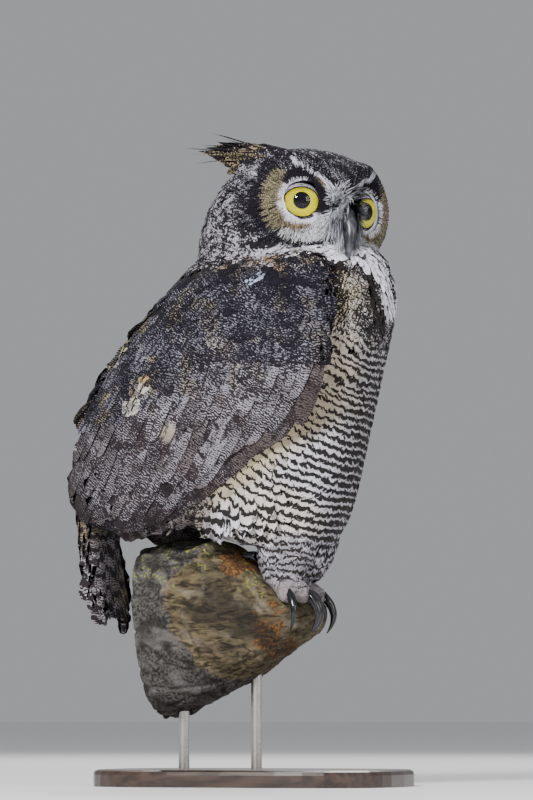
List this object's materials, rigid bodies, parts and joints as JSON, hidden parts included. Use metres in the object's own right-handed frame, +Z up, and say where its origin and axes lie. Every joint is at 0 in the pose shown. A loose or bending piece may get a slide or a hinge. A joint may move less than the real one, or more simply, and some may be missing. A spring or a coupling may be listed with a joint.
{
  "type": "great horned owl",
  "caption": "Life-size great horned owl perched on the stub of a broken limb, head turned over its right shoulder, on a plain flat display stand with rods.",
  "frame": {"origin": "middle of the flat underside of the stand's base", "axes": "+Z up, +X the way that the owl's breast faces, +Y to the owl's left"},
  "size_m": [0.2865, 0.1994, 0.5383],
  "materials": {
    "plumage_back": "feathers: grey, finely vermiculated, with dark bars and buff spots",
    "plumage_head": "feathers: dark and white speckle, buff facial discs with black rims",
    "plumage_breast": "feathers: cream white and buff with narrow dark cross bars",
    "plumage_leg": "short hair-like feathers, off-white",
    "eye": "wet gloss, yellow iris with a dark pupil",
    "bill": "satin dark horn",
    "claw": "glossy black horn",
    "limb": "weathered bark and bare broken wood with lichen",
    "stand_base": "dark satin lacquer",
    "stand_rod": "brushed"
  },
  "bodies": {
    "root": {"head": "plumage_head", "neck": "plumage_head", "ear_tuft_left": "plumage_head", "ear_tuft_right": "plumage_head", "eye_left": "eye", "eye_right": "eye", "bill_upper": "bill", "bill_lower": "bill", "trunk": "plumage_breast", "wing_left": "plumage_back", "wing_right": "plumage_back", "primaries_left": "plumage_back", "primaries_right": "plumage_back", "tail": "plumage_back", "leg_left": "plumage_leg", "leg_right": "plumage_leg", "foot_left": "plumage_leg", "foot_right": "plumage_leg", "claw_left_inner": "claw", "claw_left_middle": "claw", "claw_left_outer": "claw", "claw_left_hind": "claw", "claw_right_inner": "claw", "claw_right_middle": "claw", "claw_right_outer": "claw", "claw_right_hind": "claw", "perch": "limb", "stand_base": "stand_base", "stand_rod_back": "stand_rod", "stand_rod_front": "stand_rod"}
  },
  "joints": []
}
